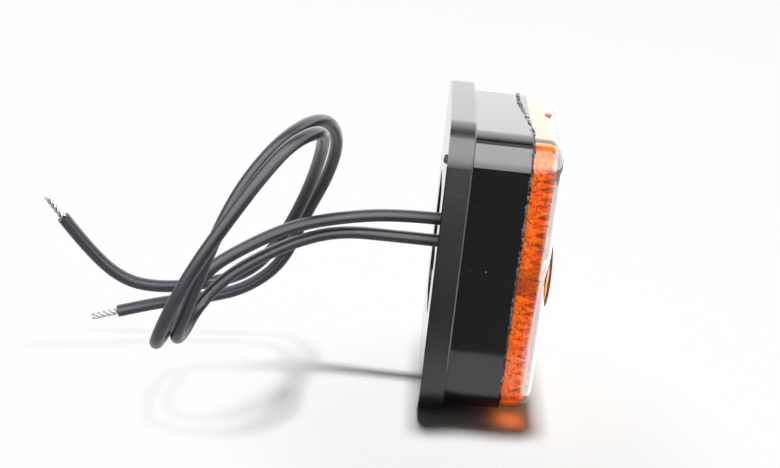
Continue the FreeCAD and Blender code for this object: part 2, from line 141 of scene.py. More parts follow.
class LampColours(bpy.types.PropertyGroup):
    """Colours of the lamp's finishes."""

    amber: colour_property("Amber", "Tint of one wall of the lens", (1.0, 0.56, 0.15))
    # Painted light: the dark, common and bright facets stand in for the shade and highlights that the
    # crinkled clear lens shows
    facet_dark: colour_property("Facet dark", "Darkest facets in the lens's side", (0.42, 0.045, 0.001))
    facet_mid: colour_property("Facet mid", "Common facets in the lens's side", (1.0, 0.27, 0.006))
    facet_bright: colour_property("Facet bright", "Brightest facets in the lens's side", (1.0, 0.68, 0.04))
    # Painted shade: darker copies of the amber for the teeth and recess rims, with painted highlights on
    # their brightest faces
    shade_dark: colour_property("Shade dark", "Darkest faces of teeth and rims", (0.1, 0.022, 0.012))
    shade_mid: colour_property("Shade middle", "Common faces of teeth and rims", (0.42, 0.09, 0.03))
    shade_bright: colour_property("Shade bright", "Brightest faces of teeth and rims", (0.85, 0.2, 0.04))
    # Painted highlight: a pale base colour on the lens's rounded front edge, standing in for the bright
    # glare on it
    rim: colour_property("Rim", "Tint of the lens's rounded front edge", (1.0, 0.93, 0.86))
    black: colour_property("Black", "Housing", (0.008, 0.008, 0.009))
    rubber: colour_property("Rubber", "Base pad", (0.018, 0.018, 0.022))
    insulation: colour_property("Insulation", "Leads", (0.016, 0.016, 0.028))
    tinned: colour_property("Tinned", "Stripped ends", (0.36, 0.355, 0.35))
    mask: colour_property("Mask", "Circuit board", (0.82, 0.83, 0.81))
    resin: colour_property("Resin", "Windows of the lamp diodes", (0.85, 0.62, 0.1))
    gate: colour_property("Gate", "Moulding mark", (0.6, 0.08, 0.02))
    dust: colour_property("Dust", "Specks on the dark parts", (0.55, 0.55, 0.56))


class LampStage(bpy.types.PropertyGroup):
    """Camera and table."""

    camera_place: FloatVectorProperty(
        name="Camera", description="Place of the camera",
        default=(-0.00919, -0.29901, 0.11531), unit="LENGTH",
    )
    camera_aim: FloatVectorProperty(
        name="Aim", description="Point that the camera looks at",
        default=(-0.0096, 0.0, 0.00043), unit="LENGTH",
    )
    camera_roll: FloatProperty(
        name="Roll", description="Turn of the camera about its view",
        default=math.radians(6.14), subtype="ANGLE",
    )
    camera_lens: FloatProperty(name="Lens", description="Focal length on a 36 mm sensor", default=69.2)
    floor_colour: colour_property("Floor", "Colour of the table", (0.9, 0.9, 0.9))


# Helpers for pieces
def settings():
    """Property groups of sizes, colours and stage."""
    scene = bpy.context.scene
    return scene.lamp_sizes, scene.lamp_colours, scene.lamp_stage


def start_fresh():
    """Leave edit mode and select nothing."""
    if bpy.context.mode != "OBJECT":
        bpy.ops.object.mode_set(mode="OBJECT")
    bpy.ops.object.select_all(action="DESELECT")


def settle(piece, name):
    """Put a piece's place, turn and size into its mesh and name it."""
    start_fresh()
    piece.select_set(True)
    bpy.context.view_layer.objects.active = piece
    bpy.ops.object.transform_apply(location=True, rotation=True, scale=True)
    piece.name = name
    piece.data.name = name
    return piece


def finish_piece(piece, material, slot_name, *nodes):
    """Dress a piece, let it ride on the lamp and hide the solids that it stands for."""
    piece.data.materials.clear()
    piece.data.materials.append(material)
    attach(piece, BODY)
    if nodes:
        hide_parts(*nodes)
    return piece


def edit(piece):
    """Open one piece in edit mode with all of it selected."""
    start_fresh()
    piece.select_set(True)
    bpy.context.view_layer.objects.active = piece
    bpy.ops.object.mode_set(mode="EDIT")
    bpy.ops.mesh.select_all(action="SELECT")


def close_edit():
    """Back to object mode."""
    bpy.ops.object.mode_set(mode="OBJECT")


def apply_modifier(piece, kind, **values):
    """Add one modifier with its values and apply it."""
    start_fresh()
    piece.select_set(True)
    bpy.context.view_layer.objects.active = piece
    modifier = piece.modifiers.new(kind.title(), kind)
    for key, value in values.items():
        setattr(modifier, key, value)
    bpy.ops.object.modifier_apply(modifier=modifier.name)


def rounded_plate(name, width, length, radius, level, segments):
    """Flat face with round corners across the lamp at a level along X."""
    start_fresh()
    bpy.ops.mesh.primitive_plane_add(size=1.0, location=(level, 0.0, 0.0), rotation=ACROSS)
    plate = bpy.context.object
    plate.scale = (width, length, 1.0)
    settle(plate, name)
    edit(plate)
    bpy.ops.mesh.bevel(offset=radius, segments=segments, affect="VERTICES")
    close_edit()
    return plate


def select_edges(piece, test):
    """Select the edges of a piece in edit mode whose two ends pass a test."""
    bpy.ops.mesh.select_mode(type="EDGE")
    bpy.ops.mesh.select_all(action="DESELECT")
    close_edit()
    points = piece.data.vertices
    for line in piece.data.edges:
        ends = [points[index].co for index in line.vertices]
        line.select = test(*ends)
    bpy.ops.object.mode_set(mode="EDIT")


def fine_band(name, outline, radius, low, high, rows, pitch):
    """Upright band round an outline with round corners, cut into small squares."""
    width, length = outline
    band = rounded_plate(name, width, length, radius, low, segments=8)
    edit(band)
    bpy.ops.mesh.delete(type="ONLY_FACE")
    for side in (width - 2 * radius, length - 2 * radius):
        select_edges(band, lambda a, b: abs((a - b).length - side) < 0.01 * MM)
        bpy.ops.mesh.subdivide(number_cuts=int(side / pitch))
    bpy.ops.mesh.select_all(action="SELECT")
    for _ in range(rows):
        step = ((high - low) / rows, 0.0, 0.0)
        bpy.ops.mesh.extrude_region_move(TRANSFORM_OT_translate={"value": step})
    bpy.ops.mesh.select_all(action="SELECT")
    bpy.ops.mesh.normals_make_consistent(inside=False)
    close_edit()
    return band


def select_faces(piece, test):
    """Select the faces of a piece in edit mode whose centre passes a test."""
    bpy.ops.mesh.select_mode(type="FACE")
    bpy.ops.mesh.select_all(action="DESELECT")
    close_edit()
    for face in piece.data.polygons:
        face.select = test(face.center)
    bpy.ops.object.mode_set(mode="EDIT")


# Helpers for materials
def new_material(name, colour, roughness, **sockets):
    """Material with one Principled shader and its plain values."""
    material = bpy.data.materials.new(name)
    material.use_nodes = True
    shader = material.node_tree.nodes["Principled BSDF"]
    shader.inputs["Base Color"].default_value = (*colour, 1.0)
    shader.inputs["Roughness"].default_value = roughness
    for socket, value in sockets.items():
        shader.inputs[socket.replace("_", " ")].default_value = value
    return material, material.node_tree, shader


def group_with(name, inputs, outputs):
    """Empty shader node group with named float inputs and outputs."""
    group = bpy.data.node_groups.new(name, "ShaderNodeTree")
    for socket, value in inputs.items():
        item = group.interface.new_socket(name=socket, in_out="INPUT", socket_type="NodeSocketFloat")
        item.default_value = value
    for socket in outputs:
        group.interface.new_socket(name=socket, in_out="OUTPUT", socket_type="NodeSocketFloat")
    entry = group.nodes.new("NodeGroupInput")
    leave = group.nodes.new("NodeGroupOutput")
    place = group.nodes.new("ShaderNodeTexCoord")
    return group, entry, leave, place.outputs["Object"]


def dust_group():
    """Sparse pale specks: a mask that is one on each speck."""
    group, entry, leave, place = group_with("DustSpecks", {"Scale": 420.0, "Size": 0.07}, ["Mask"])
    cells = group.nodes.new("ShaderNodeTexVoronoi")
    pick = group.nodes.new("ShaderNodeMath")
    pick.operation = "LESS_THAN"
    patches = group.nodes.new("ShaderNodeTexNoise")
    patches.inputs["Scale"].default_value = 130.0
    sparse = group.nodes.new("ShaderNodeMath")
    sparse.operation = "GREATER_THAN"
    sparse.inputs[1].default_value = 0.56
    both = group.nodes.new("ShaderNodeMath")
    both.operation = "MULTIPLY"
    link = group.links.new
    link(place, cells.inputs["Vector"])
    link(place, patches.inputs["Vector"])
    link(entry.outputs["Scale"], cells.inputs["Scale"])
    link(cells.outputs["Distance"], pick.inputs[0])
    link(entry.outputs["Size"], pick.inputs[1])
    link(patches.outputs["Fac"], sparse.inputs[0])
    link(pick.outputs[0], both.inputs[0])
    link(sparse.outputs[0], both.inputs[1])
    link(both.outputs[0], leave.inputs["Mask"])
    return group


def grain_group():
    """Moulded grain: a fine height and a slow drift of the finish."""
    group, entry, leave, place = group_with("MouldedGrain", {"Scale": 3000.0}, ["Height", "Drift"])
    fine = group.nodes.new("ShaderNodeTexNoise")
    fine.inputs["Detail"].default_value = 4.0
    slow = group.nodes.new("ShaderNodeTexNoise")
    slow.inputs["Scale"].default_value = 90.0
    link = group.links.new
    link(place, fine.inputs["Vector"])
    link(place, slow.inputs["Vector"])
    link(entry.outputs["Scale"], fine.inputs["Scale"])
    link(fine.outputs["Fac"], leave.inputs["Height"])
    link(slow.outputs["Fac"], leave.inputs["Drift"])
    return group


def shared_group(name, maker):
    """Node group of that name, made the first time that it is asked for."""
    return bpy.data.node_groups.get(name) or maker()


def add_grain(tree, shader, scale, depth, roughness_low, roughness_high):
    """Fine bump and a roughness that drifts between two values."""
    grain = tree.nodes.new("ShaderNodeGroup")
    grain.node_tree = shared_group("MouldedGrain", grain_group)
    grain.inputs["Scale"].default_value = scale
    bump = tree.nodes.new("ShaderNodeBump")
    bump.inputs["Strength"].default_value = 0.5
    bump.inputs["Distance"].default_value = depth
    spread = tree.nodes.new("ShaderNodeMapRange")
    spread.inputs["To Min"].default_value = roughness_low
    spread.inputs["To Max"].default_value = roughness_high
    tree.links.new(grain.outputs["Height"], bump.inputs["Height"])
    tree.links.new(bump.outputs["Normal"], shader.inputs["Normal"])
    tree.links.new(grain.outputs["Drift"], spread.inputs["Value"])
    tree.links.new(spread.outputs["Result"], shader.inputs["Roughness"])


def add_dust(tree, shader, colour, dust, scale, size):
    """Pale specks over a plain colour."""
    specks = tree.nodes.new("ShaderNodeGroup")
    specks.node_tree = shared_group("DustSpecks", dust_group)
    specks.inputs["Scale"].default_value = scale
    specks.inputs["Size"].default_value = size
    mix = tree.nodes.new("ShaderNodeMix")
    mix.data_type = "RGBA"
    mix.inputs["A"].default_value = (*colour, 1.0)
    mix.inputs["B"].default_value = (*dust, 1.0)
    tree.links.new(specks.outputs["Mask"], mix.inputs["Factor"])
    tree.links.new(mix.outputs["Result"], shader.inputs["Base Color"])


def ranged(tree, value, low, high, start, stop):
    """Smooth step of a value from one range to another."""
    step = tree.nodes.new("ShaderNodeMapRange")
    step.interpolation_type = "SMOOTHSTEP"
    for socket, number in zip(("From Min", "From Max", "To Min", "To Max"), (low, high, start, stop)):
        step.inputs[socket].default_value = number
    tree.links.new(value, step.inputs["Value"])
    return step.outputs["Result"]


def combined(tree, operation, *values):
    """Some values multiplied, or the largest of them, one after the other."""
    result = values[0]
    for value in values[1:]:
        node = tree.nodes.new("ShaderNodeMath")
        node.operation = operation
        tree.links.new(result, node.inputs[0])
        tree.links.new(value, node.inputs[1])
        result = node.outputs[0]
    return result


def seen_directly(tree):
    """One for what the camera sees straight, in gloss or through glass."""
    path = tree.nodes.new("ShaderNodeLightPath")
    rays = ("Is Camera Ray", "Is Glossy Ray", "Is Transmission Ray")
    return combined(tree, "MAXIMUM", *(path.outputs[ray] for ray in rays))


def rubber_finish():
    """Satin rubber with a fine grain and a polished back."""
    _, colours, _ = settings()
    material, tree, shader = new_material("pad_rubber", colours.rubber, 0.3, Specular_IOR_Level=0.7)
    add_grain(tree, shader, scale=2600.0, depth=0.012 * MM, roughness_low=0.22, roughness_high=0.3)
    place = tree.nodes.new("ShaderNodeTexCoord")
    split = tree.nodes.new("ShaderNodeSeparateXYZ")
    tree.links.new(place.outputs["Object"], split.inputs["Vector"])
    polish = ranged(tree, split.outputs["X"], 0.0, 0.4 * MM, 0.15, 1.0)
    satin = shader.inputs["Roughness"].links[0].from_socket
    tree.links.new(combined(tree, "MULTIPLY", satin, polish), shader.inputs["Roughness"])
    add_dust(tree, shader, colours.rubber, colours.dust, scale=420.0, size=0.05)
    return material


def black_finish():
    """Polished black plastic with a little dust."""
    _, colours, _ = settings()
    material, tree, shader = new_material("black_plastic", colours.black, 0.06, Specular_IOR_Level=0.9)
    add_grain(tree, shader, scale=900.0, depth=0.002 * MM, roughness_low=0.05, roughness_high=0.1)
    add_dust(tree, shader, colours.black, colours.dust, scale=380.0, size=0.05)
    return material


def amber_finish():
    """Clear amber plastic with a painted highlight: a pale base colour on the rounded front edge stands in
    for its glare; glossier there and on the upper end.
    """
    _, colours, _ = settings()
    material, tree, shader = new_material(
        "amber_plastic", colours.amber, 0.03,
        Transmission_Weight=1.0, IOR=1.58, Coat_IOR=2.0, Coat_Roughness=0.04,
    )
    shape = tree.nodes.new("ShaderNodeNewGeometry")
    split = tree.nodes.new("ShaderNodeSeparateXYZ")
    tree.links.new(shape.outputs["Normal"], split.inputs["Vector"])
    # Mask of the rounded front edge: it paints the pale glare colour there, and also gives real coat gloss
    rim = combined(
        tree, "MULTIPLY",
        ranged(tree, split.outputs["X"], 0.2, 0.5, 0.0, 1.0),
        ranged(tree, split.outputs["X"], 0.97, 0.995, 1.0, 0.0),
    )
    # Painted highlight: the base colour turns to the pale rim colour on the rounded front edge
    mix = tree.nodes.new("ShaderNodeMix")
    mix.data_type = "RGBA"
    mix.inputs["A"].default_value = (*colours.amber, 1.0)
    mix.inputs["B"].default_value = (*colours.rim, 1.0)
    tree.links.new(rim, mix.inputs["Factor"])
    tree.links.new(mix.outputs["Result"], shader.inputs["Base Color"])
    upper_end = ranged(tree, split.outputs["Z"], 0.75, 0.95, 0.0, 0.25)
    tree.links.new(combined(tree, "MAXIMUM", rim, upper_end), shader.inputs["Coat Weight"])
    haze = tree.nodes.new("ShaderNodeGroup")
    haze.node_tree = shared_group("MouldedGrain", grain_group)
    spread = ranged(tree, haze.outputs["Drift"], 0.3, 0.7, 0.02, 0.06)
    tree.links.new(spread, shader.inputs["Roughness"])
    return material


def facet_group():
    """Painted light of each small facet, from dark to bright at random, and painted shade in the creases
    between them.
    """
    group, entry, leave, place = group_with("FacetTones", {"Scale": 1500.0}, ["Tone"])
    link = group.links.new

    def math_node(operation, first, second):
        node = group.nodes.new("ShaderNodeMath")
        node.operation = operation
        for socket, value in zip(node.inputs, (first, second)):
            if isinstance(value, float):
                socket.default_value = value
            else:
                link(value, socket)
        return node.outputs[0]

    def cells(scale, feature):
        node = group.nodes.new("ShaderNodeTexVoronoi")
        node.feature = feature
        link(place, node.inputs["Vector"])
        link(scale, node.inputs["Scale"])
        return node

    def painted_brightness(scale):
        split = group.nodes.new("ShaderNodeSeparateColor")
        link(cells(scale, "F1").outputs["Color"], split.inputs["Color"])
        return split.outputs["Red"]

    large = entry.outputs["Scale"]
    small = math_node("MULTIPLY", large, 2.3)
    # Each facet gets a random painted brightness, standing in for how the crinkled clear lens catches light
    coarse = math_node("MULTIPLY", painted_brightness(large), 0.55)
    fine = math_node("MULTIPLY", painted_brightness(small), 0.45)
    mixed = math_node("ADD", coarse, fine)
    # Painted shade: facets darken towards the creases between them
    crease = cells(large, "DISTANCE_TO_EDGE").outputs["Distance"]
    clear = math_node("MINIMUM", math_node("MULTIPLY", crease, 9.0), 1.0)
    shade = math_node("ADD", math_node("MULTIPLY", clear, 0.45), 0.55)
    link(math_node("MULTIPLY", mixed, shade), leave.inputs["Tone"])
    return group


def facet_finish(name, scale, dark, middle, bright):
    """Facets of amber plastic with painted light: a colour ramp from painted shade to painted highlight."""
    material, tree, shader = new_material(name, middle, 0.2, Specular_IOR_Level=0.1)
    painted_light = tree.nodes.new("ShaderNodeGroup")
    painted_light.node_tree = shared_group("FacetTones", facet_group)
    painted_light.inputs["Scale"].default_value = scale
    ramp = tree.nodes.new("ShaderNodeValToRGB")
    ramp.color_ramp.elements[0].position = 0.08
    ramp.color_ramp.elements[0].color = (*dark, 1.0)
    ramp.color_ramp.elements[1].position = 0.75
    ramp.color_ramp.elements[1].color = (*bright, 1.0)
    ramp.color_ramp.elements.new(0.3).color = (*middle, 1.0)
    tree.links.new(painted_light.outputs["Tone"], ramp.inputs["Fac"])
    tree.links.new(ramp.outputs["Color"], shader.inputs["Base Color"])
    return material


def insulation_finish():
    """Black insulation with a soft sheen."""
    _, colours, _ = settings()
    material, tree, shader = new_material("lead_insulation", colours.insulation, 0.35)
    add_grain(tree, shader, scale=1800.0, depth=0.012 * MM, roughness_low=0.28, roughness_high=0.42)
    add_dust(tree, shader, colours.insulation, colours.dust, scale=500.0, size=0.03)
    return material


def tinned_finish():
    """Tinned strands."""
    _, colours, _ = settings()
    material, tree, shader = new_material("tinned_wire", colours.tinned, 0.3, Metallic=1.0)
    add_grain(tree, shader, scale=3000.0, depth=0.03 * MM, roughness_low=0.12, roughness_high=0.25)
    return material


def plain_finish(name, colour, roughness, **sockets):
    """Moulded or plated small part with a fine grain."""
    material, tree, shader = new_material(name, colour, roughness, **sockets)
    low, high = 0.85 * roughness, 1.15 * roughness
    add_grain(tree, shader, scale=2500.0, depth=0.006 * MM, roughness_low=low, roughness_high=high)
    return material


def dress(node, material):
    """Give a solid its finish."""
    solid = NODES[node]
    solid.data.materials.clear()
    solid.data.materials.append(material)


class LAMP_OT_black_parts(bpy.types.Operator):
    """Dress the base pad, the housing and the cable seal"""

    bl_idname = "lamp.black_parts"
    bl_label = "Pad, housing and seal"

    def execute(self, context):
        dress("base_pad", rubber_finish())
        dress("housing", black_finish())
        dress("cable_seal", plain_finish("seal_resin", (0.02, 0.02, 0.021), 0.5))
        return {"FINISHED"}


def behind_front(sizes):
    """Level along X of the inside of the lens's front."""
    return LENS_HIGH.x - sizes.rim_rise - sizes.lens_front


class LAMP_OT_lens(bpy.types.Operator):
    """Dress the lens, line it with facets, teeth and pyramids, and sleeve the rims of its recesses"""

    bl_idname = "lamp.lens"
    bl_label = "Lens"

    def execute(self, context):
        sizes, colours, _ = settings()
        amber = amber_finish()
        # Opaque facets with painted highlights and shade, in place of the crinkled clear lens
        facets = facet_finish(
            "amber_facets_painted_light", 1600.0, colours.facet_dark, colours.facet_mid, colours.facet_bright
        )
        # Darker amber copy with painted shade and highlights, for the teeth and recess rims
        shade = facet_finish(
            "amber_painted_shade", 900.0, colours.shade_dark, colours.shade_mid, colours.shade_bright
        )
        dress("lens", amber)
        # The faceted band gets the painted highlights and shade
        finish_piece(self.faceted_band(sizes), facets, "amber_plastic")
        finish_piece(self.pyramid_field(sizes), amber, "amber_plastic")
        for name, side in (("near", -1), ("far", 1)):
            finish_piece(self.teeth(sizes, name, side), shade, "amber_plastic")
            finish_piece(self.recess_rim(sizes, name, side), shade, "amber_plastic")
        return {"FINISHED"}

    def teeth(self, sizes, name, side):
        """Row of uneven teeth that point back from the front, close to one side of the lens."""
        gap, stand_off, stray = 0.1 * MM, 0.55 * MM, 0.45 * MM
        front = behind_front(sizes) - gap
        place = side * (LENS_HIGH.y - sizes.lens_wall - stand_off)
        reach = LENS_HIGH.z - sizes.lens_radius
        count = int(2 * reach / sizes.tooth_pitch)
        start_fresh()
        bpy.ops.mesh.primitive_cone_add(
            vertices=5, radius1=0.5 * sizes.tooth_pitch, radius2=0.0, depth=sizes.tooth_length,
            location=(front - sizes.tooth_length / 2, place, -reach), rotation=ALONG_X_BACK,
        )
        row = settle(bpy.context.object, f"lens_teeth_{name}")
        edit(row)
        bpy.ops.transform.resize(value=(1.0, 0.5, 1.0), center_override=(front, place, -reach))
        for _ in range(count):
            step = (0.0, 0.0, 2 * reach / count)
            bpy.ops.mesh.duplicate_move(TRANSFORM_OT_translate={"value": step})
        bpy.ops.mesh.select_all(action="SELECT")
        bpy.ops.transform.vertex_random(offset=stray, seed=3)
        close_edit()
        return row

    def recess_rim(self, sizes, name, side):
        """Thin sleeve over the rim of one screw recess."""
        cover, edge = 0.06 * MM, 0.08 * MM
        low = LENS_HIGH.x - sizes.rim_rise
        middle = side * sizes.screw_offset
        start_fresh()
        bpy.ops.mesh.primitive_cylinder_add(
            vertices=72, radius=sizes.boss_radius + cover, depth=sizes.rim_rise, end_fill_type="NGON",
            location=(low + sizes.rim_rise / 2 + cover, middle, 0.0), rotation=ALONG_X,
        )
        rim = settle(bpy.context.object, f"recess_rim_{name}")
        edit(rim)
        select_faces(rim, lambda centre: abs(centre.y - middle) < MM and abs(centre.z) < MM)
        bpy.ops.mesh.inset(thickness=sizes.boss_radius - sizes.recess_radius + 2 * cover)
        bpy.ops.mesh.bridge_edge_loops()
        bpy.ops.mesh.select_all(action="SELECT")
        bpy.ops.mesh.normals_make_consistent(inside=False)
        close_edit()
        apply_modifier(rim, "BEVEL", width=edge, segments=2)
        return rim

    def faceted_band(self, sizes):
        """Crinkled band against the inside of the lens's side."""
        gap, side_gap, end_gap = 0.3 * MM, 0.7 * MM, 0.1 * MM
        inset = sizes.lens_wall + side_gap + (sizes.facet_wall + sizes.facet_depth) / 2
        end_inset = inset - side_gap + end_gap
        outline = (LENS_HIGH.y - LENS_LOW.y - 2 * inset, LENS_HIGH.z - LENS_LOW.z - 2 * end_inset)
        low = SEAM + gap
        high = behind_front(sizes) - gap
        rows = round((high - low) / sizes.facet_pitch)
        radius = sizes.lens_radius - inset
        band = fine_band("lens_facets", outline, radius, low, high, rows, sizes.facet_pitch)
        edit(band)
        bpy.ops.mesh.quads_convert_to_tris(quad_method="SHORTEST_DIAGONAL")
        bpy.ops.transform.vertex_random(offset=sizes.facet_depth, seed=7)
        close_edit()
        apply_modifier(band, "SOLIDIFY", thickness=sizes.facet_wall, offset=0.0)
        return band

    def pyramid_field(self, sizes):
        """Small pyramids behind the lens's front, left out round the screw recesses."""
        gap, corner, wall = 0.3 * MM, 4.0 * MM, 0.3 * MM
        margin = sizes.lens_wall + 2.2 * MM
        width = LENS_HIGH.y - LENS_LOW.y - 2 * margin
        length = LENS_HIGH.z - LENS_LOW.z - 2 * margin
        start_fresh()
        bpy.ops.mesh.primitive_grid_add(
            x_subdivisions=round(width / sizes.pyramid_pitch),
            y_subdivisions=round(length / sizes.pyramid_pitch),
            size=1.0, location=(behind_front(sizes) - gap, 0.0, 0.0), rotation=ACROSS,
        )
        field = bpy.context.object
        field.scale = (width, length, 1.0)
        settle(field, "lens_pyramids")
        edit(field)
        reach = sizes.boss_radius + 0.8 * sizes.pyramid_pitch

        def left_out(centre):
            near_screw = math.hypot(abs(centre.y) - sizes.screw_offset, centre.z) < reach
            over_y = abs(centre.y) - (width / 2 - corner)
            over_z = abs(centre.z) - (length / 2 - corner)
            in_corner = over_y > 0 and over_z > 0 and math.hypot(over_y, over_z) > corner
            return near_screw or in_corner

        select_faces(field, left_out)
        bpy.ops.mesh.delete(type="FACE")
        bpy.ops.mesh.select_all(action="SELECT")
        bpy.ops.mesh.poke(offset=-sizes.pyramid_depth)
        close_edit()
        apply_modifier(field, "SOLIDIFY", thickness=wall, offset=0.0)
        return field


class LAMP_OT_weld(bpy.types.Operator):
    """Ragged flash of the weld between housing and lens, and a crumb of flash on the pad"""

    bl_idname = "lamp.weld"
    bl_label = "Weld flash"

    def execute(self, context):
        sizes, _, _ = settings()
        lap, pitch = 0.1 * MM, 0.6 * MM
        outline = (LENS_HIGH.y - LENS_LOW.y + lap, LENS_HIGH.z - LENS_LOW.z + lap)
        low = SEAM - lap
        high = low + sizes.flash_height
        flash = fine_band("weld_flash", outline, sizes.lens_radius, low, high, 2, pitch)
        apply_modifier(flash, "SOLIDIFY", thickness=sizes.flash_reach, offset=1.0)
        edit(flash)
        bpy.ops.transform.vertex_random(offset=1.1 * sizes.flash_reach, seed=11)
        self.wander(flash)
        close_edit()
        finish_piece(flash, bpy.data.materials["black_plastic"], "black_plastic")
        self.burr()
        return {"FINISHED"}

    def wander(self, flash):
        """Let the flash stray backwards towards the far end of the lens's top."""
        top, far_end = LENS_HIGH.z - 0.2 * MM, 12.0 * MM
        bpy.ops.mesh.select_mode(type="VERT")
        bpy.ops.mesh.select_all(action="DESELECT")
        close_edit()
        for point in flash.data.vertices:
            point.select = point.co.z > top and point.co.y > far_end
        bpy.ops.object.mode_set(mode="EDIT")
        bpy.ops.transform.translate(
            value=(-2.0 * MM, 0.0, 0.35 * MM), use_proportional_edit=True,
            proportional_edit_falloff="SMOOTH", proportional_size=26.0 * MM,
        )

    def burr(self):
        """Crumb of flash on the pad's back edge."""
        radius, stray = 0.5 * MM, 0.3 * MM
        start_fresh()
        place = (PAD_LOW.x - 0.3 * MM, PAD_LOW.y + 0.5 * MM, PAD_HIGH.z - 6.0 * MM)
        bpy.ops.mesh.primitive_ico_sphere_add(subdivisions=2, radius=radius, location=place)
        crumb = bpy.context.object
        crumb.scale = (0.9, 0.6, 1.9)
        settle(crumb, "pad_burr")
        edit(crumb)
        bpy.ops.transform.vertex_random(offset=stray, seed=5)
        close_edit()
        finish_piece(crumb, bpy.data.materials["pad_rubber"], "pad_rubber")


class LAMP_OT_gate(bpy.types.Operator):
    """Moulding mark on the lens's upper end"""

    bl_idname = "lamp.gate"
    bl_label = "Gate mark"

    def execute(self, context):
        sizes, colours, _ = settings()
        depth, wall, hollow, edge = 0.3 * MM, 0.25 * MM, 0.12 * MM, 0.06 * MM
        start_fresh()
        bpy.ops.mesh.primitive_cylinder_add(
            vertices=20, radius=sizes.gate_radius, depth=depth,
            location=(SEAM + 4.2 * MM, 3.0 * MM, LENS_HIGH.z),
        )
        mark = settle(bpy.context.object, "gate_mark")
        edit(mark)
        select_faces(mark, lambda centre: centre.z > LENS_HIGH.z + depth / 3)
        bpy.ops.mesh.inset(thickness=wall, depth=-hollow)
        close_edit()
        apply_modifier(mark, "BEVEL", width=edge, segments=2)
        finish_piece(mark, plain_finish("gate_amber", colours.gate, 0.35), "amber_plastic")
        return {"FINISHED"}


class LAMP_OT_board(bpy.types.Operator):
    """Dress the circuit board and what is on it, and fill the lamp diodes' windows"""

    bl_idname = "lamp.board"
    bl_label = "Circuit board"

    def execute(self, context):
        _, colours, _ = settings()
        dress("circuit_board", plain_finish("board_mask", colours.mask, 0.35))
        chip = plain_finish("chip_black", (0.03, 0.03, 0.03), 0.45)
        for node in ("resistor_1", "resistor_2", "rectifier"):
            dress(node, chip)
        dress("capacitor", plain_finish("can_metal", (0.7, 0.7, 0.71), 0.25, Metallic=1.0))
        copper = plain_finish("copper_wire", (0.75, 0.4, 0.24), 0.3, Metallic=1.0)
        solder = plain_finish("bright_solder", (0.72, 0.72, 0.73), 0.22, Metallic=1.0)
        for number in (1, 2):
            dress(f"lead_tail_{number}", copper)
            dress(f"solder_joint_{number}", solder)
        body = plain_finish("diode_white", (0.82, 0.81, 0.76), 0.4)
        resin = plain_finish("diode_resin", colours.resin, 0.2)
        for number in range(1, 7):
            dress(f"lamp_diode_{number}", body)
            self.window(number, resin)
        return {"FINISHED"}

    def window(self, number, resin):
        """Domed drop of resin in one lamp diode's window."""
        low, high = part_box(f"lamp_diode_{number}")
        middle = (low + high) / 2
        radius, depth, sunk = 1.45 * MM, 0.4 * MM, 0.28 * MM
        start_fresh()
        bpy.ops.mesh.primitive_cylinder_add(
            vertices=32, radius=radius, depth=depth,
            location=(high.x - sunk, middle.y, middle.z), rotation=ALONG_X,
        )
        drop = settle(bpy.context.object, f"diode_resin_{number}")
        edit(drop)
        select_faces(drop, lambda centre: centre.x > high.x - sunk / 2)
        bpy.ops.mesh.inset(thickness=0.7 * MM, depth=0.06 * MM)
        close_edit()
        finish_piece(drop, resin, "diode_plastic")


class LAMP_OT_leads(bpy.types.Operator):
    """Two loose leads along their routes, with stripped and twisted ends"""

    bl_idname = "lamp.leads"
    bl_label = "Leads"

    def execute(self, context):
        sizes, _, _ = settings()
        insulation = insulation_finish()
        tinned = tinned_finish()
        for number, route in LEAD_ROUTES.items():
            points = [Vector(point) * MM for point in route]
            end = self.stripped_end(number, sizes, points[-1], points[-1] - points[-2])
            finish_piece(end, tinned, "tinned_wire", f"tinned_end_{number}")
            lead = self.lead(number, sizes, points)
            finish_piece(lead, insulation, "lead_insulation", f"lead_{number}")
        return {"FINISHED"}

    def lead(self, number, sizes, points):
        """Round lead on one smooth spline."""
        curve = bpy.data.curves.new(f"lead_cover_{number}", "CURVE")
        curve.dimensions = "3D"
        curve.bevel_depth = sizes.lead_diameter / 2
        curve.bevel_resolution = 6
        curve.resolution_u = 10
        curve.use_fill_caps = True
        spline = curve.splines.new("NURBS")
        spline.points.add(len(points) - 1)
        for knot, point in zip(spline.points, points):
            knot.co = (*point, 1.0)
        spline.order_u = 3
        spline.use_endpoint_u = True
        lead = bpy.data.objects.new(f"lead_cover_{number}", curve)
        bpy.context.scene.collection.objects.link(lead)
        return lead

    def stripped_end(self, number, sizes, start, direction):
        """Tinned strands twisted round each other."""
        rise = sizes.stripped_length - sizes.strand_radius
        lean = math.atan2(sizes.strand_twist * sizes.strand_circle, rise)
        start_fresh()
        bpy.ops.mesh.primitive_circle_add(
            vertices=10, radius=sizes.strand_radius, location=(sizes.strand_circle, 0.0, 0.0),
            rotation=(-lean, 0.0, 0.0), fill_type="NOTHING",
        )
        strand = settle(bpy.context.object, f"tinned_twist_{number}")
        apply_modifier(
            strand, "SCREW", axis="Z", angle=sizes.strand_twist, screw_offset=rise,
            steps=72, render_steps=72, use_merge_vertices=False,
        )
        edit(strand)
        bpy.ops.mesh.fill_holes(sides=0)
        for _ in range(sizes.strand_count - 1):
            bpy.ops.mesh.duplicate()
            bpy.ops.transform.rotate(
                value=2 * math.pi / sizes.strand_count, orient_axis="Z", center_override=(0.0, 0.0, 0.0)
            )
        bpy.ops.mesh.select_all(action="SELECT")
        bpy.ops.mesh.normals_make_consistent(inside=False)
        close_edit()
        turn = Vector((0.0, 0.0, 1.0)).rotation_difference(direction)
        strand.rotation_mode = "QUATERNION"
        strand.rotation_quaternion = turn
        strand.location = start
        settle(strand, f"tinned_twist_{number}")
        return strand


